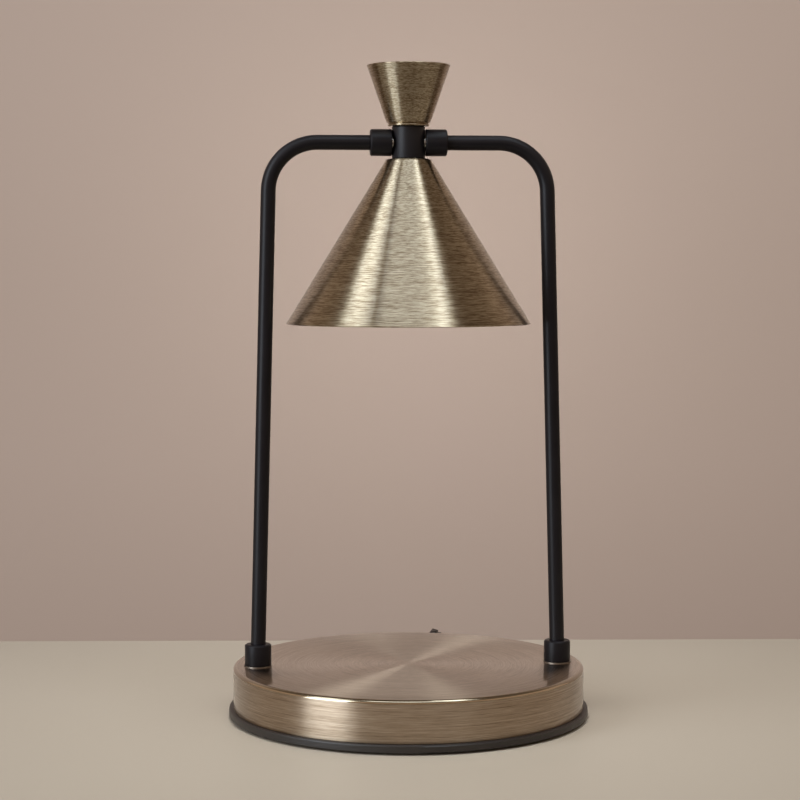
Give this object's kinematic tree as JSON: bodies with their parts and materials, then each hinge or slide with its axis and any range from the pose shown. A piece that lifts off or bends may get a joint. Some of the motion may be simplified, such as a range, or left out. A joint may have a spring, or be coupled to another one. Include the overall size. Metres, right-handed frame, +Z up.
{
  "type": "candle warmer lamp",
  "caption": "Candle warmer lamp: antique brass cone shade tilting in a black tube hoop on a weighted round base, with dimmer wheel, bulb, coiled cord and plug.",
  "frame": {"origin": "middle of the round base's footprint, on the table", "axes": "+Z up, +X across the hoop to the right as seen from the front, +Y from the front to the back where the cord leaves"},
  "size_m": [0.17, 0.2386, 0.3059],
  "materials": {
    "antique_brass": "circularly brushed, lacquered antique",
    "black_metal": "satin black powder coat",
    "bright_steel": "polished edge",
    "zinc_steel": "zinc plated",
    "iron": "as cast, oiled",
    "pad_rubber": "matt",
    "nylon": "natural",
    "white_ceramic": "unglazed, smooth",
    "contact_brass": "plain",
    "reflector_glass": "silvered inside",
    "clear_glass": "clear",
    "block_plastic": "moulded",
    "cord_plastic": "soft satin",
    "lead_plastic": "silicone sleeve",
    "board_laminate": "lacquered",
    "wheel_plastic": "knurled",
    "tie_plastic": "dark brown"
  },
  "bodies": {
    "base": {"foot_pad": "pad_rubber", "base_plate": "black_metal", "plate_screws": "zinc_steel", "plate_pillars": "zinc_steel", "base_cover": "antique_brass", "counterweight": "iron", "seat_washers": "bright_steel", "frame_tube_left": "black_metal", "frame_tube_right": "black_metal", "foot_collar_left": "black_metal", "foot_collar_right": "black_metal", "leg_washers": "zinc_steel", "leg_nuts": "zinc_steel", "arm_collar_right": "black_metal", "arm_collar_left": "black_metal", "pivot_bush_right": "nylon", "pivot_bush_left": "nylon", "grub_screws": "zinc_steel", "terminal_block": "block_plastic", "terminal_screws": "contact_brass", "block_screw": "zinc_steel", "cord_clip": "block_plastic", "clip_screws": "zinc_steel", "inner_cord": "cord_plastic", "frame_lead": "lead_plastic", "dimmer_board": "board_laminate", "board_screws": "zinc_steel", "dimmer_pot": "block_plastic", "cord_relief": "cord_plastic", "cord_lead": "cord_plastic", "cord_coil": "cord_plastic", "coil_tie": "tie_plastic", "cord_tail": "cord_plastic", "plug_body": "cord_plastic", "plug_blades": "contact_brass"},
    "head": {"pivot_pin_right": "zinc_steel", "pivot_pin_left": "zinc_steel", "hub": "black_metal", "nipple": "zinc_steel", "finial_cone": "antique_brass", "finial_cap": "antique_brass", "shade": "antique_brass", "shade_washer": "zinc_steel", "shade_nut": "zinc_steel", "holder_bracket": "zinc_steel", "lampholder": "white_ceramic", "holder_contacts": "contact_brass", "holder_screws": "zinc_steel", "head_lead": "lead_plastic"},
    "bulb": {"bulb_base": "white_ceramic", "bulb_pins": "bright_steel", "bulb_reflector": "reflector_glass", "bulb_lens": "clear_glass", "bulb_capsule": "clear_glass"},
    "wheel": {"dimmer_wheel": "wheel_plastic"}
  },
  "joints": [
    {"name": "shade_tilt", "type": "hinge", "parent": "base", "child": "head", "pos_m": [0, 0, 0.27], "axis": [1, 0, 0], "range_deg": [-45, 45]},
    {"name": "bulb_twist", "type": "hinge", "parent": "head", "child": "bulb", "pos_m": [0, 0, 0.2385], "axis": [0, 0, 1], "range_deg": [-25, 0]},
    {"name": "dimmer_turn", "type": "hinge", "parent": "base", "child": "wheel", "pos_m": [-0.03553, 0.06153, 0.012], "axis": [0, 0, 1], "range_deg": [0, 270]}
  ]
}
